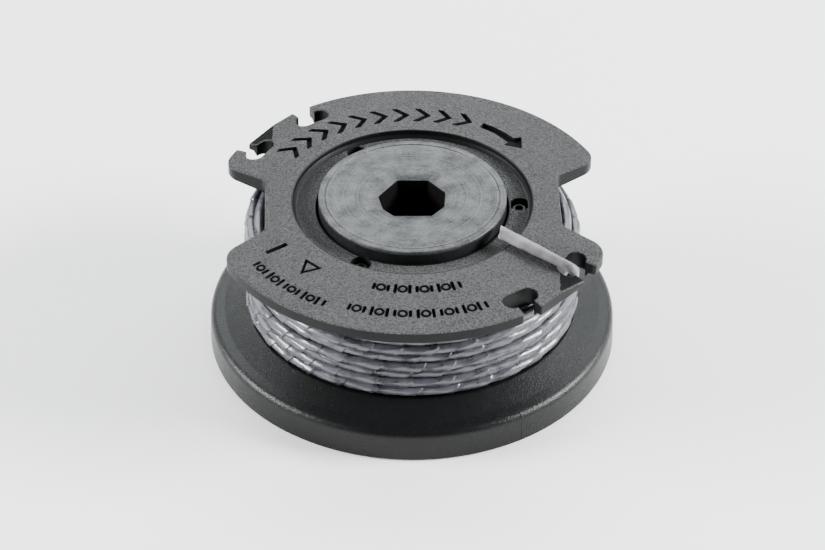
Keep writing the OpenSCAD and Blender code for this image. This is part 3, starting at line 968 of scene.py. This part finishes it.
def turned_walls(shell):
    """The recess wall, the well, the web and the drum."""
    mouth_z = float(top_z(np.array([[MOUTH_R, 0]]))[0])
    foot_r = RECESS_R - 0.45
    recess_wall = [
        (MOUTH_R, mouth_z), (RECESS_R, mouth_z + 0.02, 0.15), (RECESS_R, RECESS_Z + 0.4, 0.1),
        (foot_r, RECESS_Z + 0.06, 0.08), (FLOOR_R, RECESS_Z)]
    revolve(shell, recess_wall, RING_COUNT, paint=WALL_SHADE)
    web_low_z, web_high_z = WEB_Z
    drum = [
        (FLOOR_EDGE_R, RECESS_Z), (WELL_R, RECESS_Z, 0.3), (WELL_R, web_high_z, 0.3),
        (WEB_BORE_R, web_high_z), (WEB_BORE_R, web_low_z), (WELL_R, web_low_z), (WELL_R, SPIGOT_Z),
        (SPIGOT_R, SPIGOT_Z), (SPIGOT_R, SEAT_Z), (DRUM_R, SEAT_Z), (DRUM_R, FLANGE_LOW_Z, 0.55),
        (ROOT_R, FLANGE_LOW_Z)]
    revolve(shell, drum, RING_COUNT, paint=WALL_SHADE)


def make_body():
    shell = Shell()
    top_loop, low_loop = flange_rim(shell)
    flange_top(shell, top_loop)
    flange_underside(shell, low_loop)
    recess_floor(shell)
    turned_walls(shell)
    # The grained top with painted sheen, then the sunk places and the walls in painted shade.
    finishes = [BLACK_GRAIN_AND_SHEEN, SUNK_SHADE_BLACK, WALL_SHADE_SATIN]
    body = shell.finish("body_moulding", finishes, "root", "body_plastic", ["spool_body"], 50)
    weighted(body)


def make_pins():
    """Three rivets with a dimpled head."""
    shell = Shell()
    high_z = RECESS_Z - PIN_SINK
    neck_z = high_z - PIN_HEAD_T + 0.03
    foot_z = PIN_LOW_Z + 0.75
    profile = [
        (0, high_z - 0.5), (0.5, high_z - 0.5), (0.62, high_z, 0.1), (0.95, high_z + 0.02, 0.15),
        (PIN_HEAD_R - 0.1, high_z - 0.4, 0.2), (PIN_HEAD_R, neck_z), (PIN_SHANK_R, neck_z),
        (PIN_SHANK_R, foot_z), (PIN_HEAD_R, foot_z, 0.2), (PIN_HEAD_R, PIN_LOW_Z, 0.2),
        (0, PIN_LOW_Z)]
    for a in PIN_ANGLES:
        one = Shell()
        revolve(one, profile, 40)
        x, y = polar(PIN_CIRCLE_R, a)
        shell.add([(px + x, py + y, pz) for px, py, pz in one.points], one.faces)
    pins = shell.finish("pins", [PIN_PLASTIC], "root", "pins", ["fixing_pins"], 40)
    weighted(pins)


# ---- base flange and cap
SEAMS = (-60.0, 120.0)  # parting lines of the mould
SEAM_W, SEAM_H = 0.12, 0.06  # width as an angle, and height
SIDE_Z, SHOULDER_R, SHOULDER_Z = 4.95, 28.6, 5.42
SLOPE_R = 25.2  # where the slope up from the shoulder ends
BASE_BORE_R, LEDGE_R, LEDGE_Z = 17.45, 14.2, 3.2  # bore for the drum's lower end, and its ledge
CAP_SEAT_R, SKIRT_SEAT_R, CAP_SEAT_Z = 27.25, 24.9, 4.4  # groove for the cap's skirt
CAP_R, CAP_LOW_Z, CAP_HIGH_Z = 27.2, 0.4, 1.8
SKIRT_R, SKIRT_Z = 25.0, 4.3  # the cap's skirt: inner radius and height
CAP_FACE_Z = 0.7  # sunk middle of the cap's face


def make_base():
    outer_r = BASE_HIGH[1]
    count = 300
    angles = [360 * k / count for k in range(count)]
    angles += [middle + SEAM_W * k for middle in SEAMS for k in (-3, -1, 0, 1, 3)]
    columns = sorted(set(round(a % 360, 5) for a in angles))

    def seam(a, r, z):
        """The parting lines stand out a little on the side and the shoulder."""
        near = min(abs((a - middle + 180) % 360 - 180) for middle in SEAMS)
        return SEAM_H if r > 28 and z > 0.2 and near < SEAM_W / 2 else 0

    profile = [
        (CAP_SEAT_R, 0), (outer_r, 0, 0.4), (outer_r - 0.15, SIDE_Z, 1.3),
        (SHOULDER_R, SHOULDER_Z, 1.6), (SLOPE_R, SEAT_Z - 0.1, 0.8), (BASE_BORE_R, SEAT_Z),
        (BASE_BORE_R, CAP_SEAT_Z), (LEDGE_R, CAP_SEAT_Z), (LEDGE_R, LEDGE_Z),
        (SKIRT_SEAT_R, LEDGE_Z), (SKIRT_SEAT_R, CAP_SEAT_Z), (CAP_SEAT_R, CAP_SEAT_Z),
        (CAP_SEAT_R, 0)]
    shell = Shell()
    revolve(shell, profile, columns=columns, bulge=seam, steps=7)
    base = shell.finish("base_moulding", [BLACK_SATIN], "root", "base_plastic", ["base_flange"], 40)
    weighted(base)


def make_cap():
    """A disc with a sunk middle, a small gate dimple and a groove near its edge."""
    shell = Shell()
    gate_z, groove_z = CAP_FACE_Z + 0.25, CAP_LOW_Z + 0.2
    profile = [
        (0, gate_z), (1.1, gate_z), (1.4, CAP_FACE_Z, 0.1), (19.6, CAP_FACE_Z, 0.1),
        (20.0, CAP_LOW_Z, 0.15), (23.0, CAP_LOW_Z, 0.1), (23.15, groove_z, 0.05),
        (23.6, groove_z, 0.05), (23.75, CAP_LOW_Z, 0.1), (CAP_R, CAP_LOW_Z, 0.25),
        (CAP_R, SKIRT_Z, 0.2), (SKIRT_R, SKIRT_Z, 0.2), (SKIRT_R, CAP_HIGH_Z), (0, CAP_HIGH_Z)]
    revolve(shell, profile)
    cap = shell.finish("base_disc", [CAP_SATIN], "root", "cap_plastic", ["base_cap"], 40)
    weighted(cap)


# ---- hub
SOCKET_CORNERS = (15, 61, 115, 173, 209, 236, 302, 336)
SOCKET_R, PILOT_R, SOCKET_LOW_Z = 5.05, 4.0, 15.0
SOCKET_TOP_R = 6.7  # widest that the socket's mouth opens
# Steps of the socket's mouth: how far outside the socket, and how far below the hub's top
SOCKET_MOUTH = ((1.4, 0.2), (0.9, 0.33), (0.35, 0.5), (0.1, 0.6), (0.0, 0.8))
SLEEVE_R, SLEEVE_LOW_Z = 7.4, 5.5
CLIP_GROOVE_R, CLIP_GROOVE_Z = 6.85, (6.3, 7.25)
DISC_LOW_Z = 22.2
DISH_R, DISH_DEPTH = 6.75, 0.16  # the face falls a little towards the socket
FACE_GROOVE_R, FACE_GROOVE_HALF_W = 13.05, 0.1
FACE, SOCKET_SHADE, SIDE_SHADE = 0, 1, 2  # the hub's three materials: the face, partly painted sheen; the socket and the sides, painted shade


def socket_outline(count):
    """Radius of the keyed socket at equal angles, with its corners eased."""
    corners = [(*polar(SOCKET_R, a), 0.35) for a in SOCKET_CORNERS]
    loop = np.array(rounded(corners, steps=5))
    angles = np.degrees(np.arctan2(loop[:, 1], loop[:, 0])) % 360
    order = np.argsort(angles)
    angles = np.concatenate([angles[order] - 360, angles[order], angles[order] + 360])
    loop = np.tile(loop[order], (3, 1))
    radii = []
    for k in range(count):
        a = 360 * k / count
        i = np.searchsorted(angles, a, side="right") - 1
        place, side, ray = loop[i], loop[i + 1] - loop[i], polar(1, a)
        radii.append((place[0] * side[1] - place[1] * side[0]) / (ray[0] * side[1] - ray[1] * side[0]))
    return np.array(radii)


def make_hub():
    top, disc_r = HUB_HIGH[2], HUB_HIGH[0]
    angles = [360 * k / RING_COUNT for k in range(RING_COUNT)]
    socket = socket_outline(RING_COUNT)
    groove_in, groove_out = FACE_GROOVE_R - FACE_GROOVE_HALF_W, FACE_GROOVE_R + FACE_GROOVE_HALF_W
    face = [
        (DISH_R, top - DISH_DEPTH), (groove_in, top - 0.03), (FACE_GROOVE_R, top - 0.1),
        (groove_out, top), (disc_r, top, 0.25), (disc_r, top - 0.5)]
    clip_low_z, clip_high_z = CLIP_GROOVE_Z
    outside = [
        (disc_r, top - 0.5), (disc_r, DISC_LOW_Z, 0.2), (SLEEVE_R, DISC_LOW_Z, 0.3),
        (SLEEVE_R, clip_high_z), (CLIP_GROOVE_R, clip_high_z), (CLIP_GROOVE_R, clip_low_z),
        (SLEEVE_R, clip_low_z), (SLEEVE_R, SLEEVE_LOW_Z, 0.3), (PILOT_R, SLEEVE_LOW_Z, 0.3),
        (PILOT_R, SOCKET_LOW_Z)]

    def socket_ring(spread, z):
        return [(*polar(min(SOCKET_TOP_R, r + spread), a), z) for r, a in zip(socket, angles)]

    mouth = [[(*polar(DISH_R, a), top - DISH_DEPTH) for a in angles]]
    mouth += [socket_ring(spread, top - depth) for spread, depth in SOCKET_MOUTH]
    mouth_floor, lip_rings = socket_ring(0, SOCKET_LOW_Z), len(SOCKET_MOUTH)
    pilot_ring = [(*polar(PILOT_R, a), SOCKET_LOW_Z) for a in angles]

    shell = Shell()
    revolve(shell, face, RING_COUNT, paint=FACE, steps=5)
    revolve(shell, outside, RING_COUNT, paint=SIDE_SHADE, steps=5)
    shell.bands(mouth[:lip_rings], FACE)
    # The socket's walls and floor are painted near-black as shade.
    shell.bands(mouth[lip_rings - 1:] + [mouth_floor, pilot_ring], SOCKET_SHADE)
    hub = shell.finish("hub_moulding", [HUB_FACE_AND_SHEEN, SOCKET_SHADE_BLACK, HUB_SIDE_SHADE], "hub", "hub_plastic",
                       ["drive_hub"], 40)
    weighted(hub)


# ---- spring
SPRING_WIRE_R, SPRING_TURNS = 0.5, 4.5


def make_spring():
    """Round wire in a coil between the drum's web and the thrust ring, built at its length at rest. On the
    spool it shortens as the hub is pressed."""
    low, high = (np.array(corner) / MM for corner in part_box("hub_spring"))
    coil_r = high[0] - SPRING_WIRE_R
    coil_h = high[2] - low[2] - 2 * SPRING_WIRE_R
    section = circle(SPRING_WIRE_R, 12)
    count = round(72 * SPRING_TURNS)
    rings = []
    for i in range(count + 1):
        a = 360 * SPRING_TURNS * i / count
        z = low[2] + SPRING_WIRE_R + coil_h * i / count
        rings.append([(*polar(coil_r + across, a), z + rise) for across, rise in section])
    shell = Shell()
    shell.bands(rings)
    for end in (rings[0], rings[-1]):
        shell.add(end, [tuple(range(len(section)))])
    wire = metal("spring_wire", (0.55, 0.56, 0.57), roughness=0.3, streak_mm=1.2)
    spring = shell.finish("press_spring", [wire], "root", "spring_steel", ["hub_spring"], 50)
    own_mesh(spring)


# ---- inner pieces
def finish_inner_pieces():
    """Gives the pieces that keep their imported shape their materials."""
    finishes = {"hub_bush": BRONZE, "retaining_clip": CLIP_METAL, "thrust_ring": RING_WHITE}
    for name, finish in finishes.items():
        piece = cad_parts[name]
        piece.data.materials.clear()
        piece.data.materials.append(finish)


# ---- stage
FLOOR_HALF_M = 6.0  # half the floor's side, in metres
LIGHT_AIM = (0, 0, 0.015)  # what the lights point at, in metres


def make_stage():
    mesh = bpy.data.meshes.new("floor")
    half = FLOOR_HALF_M
    corners = [(-half, -half, 0), (half, -half, 0), (half, half, 0), (-half, half, 0)]
    mesh.from_pydata(corners, [], [(0, 1, 2, 3)])
    floor = bpy.data.objects.new("floor", mesh)
    bpy.context.scene.collection.objects.link(floor)
    material, _, _, surface = new_material("pale_floor")
    surface.inputs["Base Color"].default_value = (0.9, 0.9, 0.9, 1)
    surface.inputs["Roughness"].default_value = 0.8
    surface.inputs["Specular IOR Level"].default_value = 0.1
    surface.inputs["Emission Color"].default_value = (1, 1, 1, 1)
    surface.inputs["Emission Strength"].default_value = 0.24
    mesh.materials.append(material)


def area_light(name, azimuth, elevation, distance, size, power, colour=(1, 1, 1)):
    """A softbox at an angle and distance from the spool. Distance and size are in metres."""
    data = bpy.data.lights.new(name, "AREA")
    data.shape = "RECTANGLE"
    data.size, data.size_y = size
    data.energy = power
    data.color = colour
    light = bpy.data.objects.new(name, data)
    a, e = radians(azimuth), radians(elevation)
    place = Vector((cos(a) * cos(e), sin(a) * cos(e), sin(e))) * distance + Vector(LIGHT_AIM)
    turn = (Vector(LIGHT_AIM) - place).to_track_quat("-Z", "Y").to_matrix().to_4x4()
    light.matrix_world = Matrix.Translation(place) @ turn
    bpy.context.scene.collection.objects.link(light)


def make_lights():
    world = bpy.data.worlds.new("world")
    world.use_nodes = True
    background = world.node_tree.nodes["Background"]
    background.inputs["Color"].default_value = (1, 1, 1, 1)
    background.inputs["Strength"].default_value = 0.1
    bpy.context.scene.world = world
    area_light("back_softbox", 84, 42, distance=1.2, size=(2.2, 0.8), power=36, colour=(0.93, 0.985, 1))
    area_light("left_softbox", 180, 22, distance=1.0, size=(0.5, 0.25), power=28)
    area_light("right_softbox", -3, 25, distance=1.0, size=(0.45, 0.25), power=37)


# ---- the scene
make_camera()
make_line()
make_body()
make_pins()
make_base()
make_cap()
make_hub()
make_spring()
finish_inner_pieces()
make_lights()
make_stage()
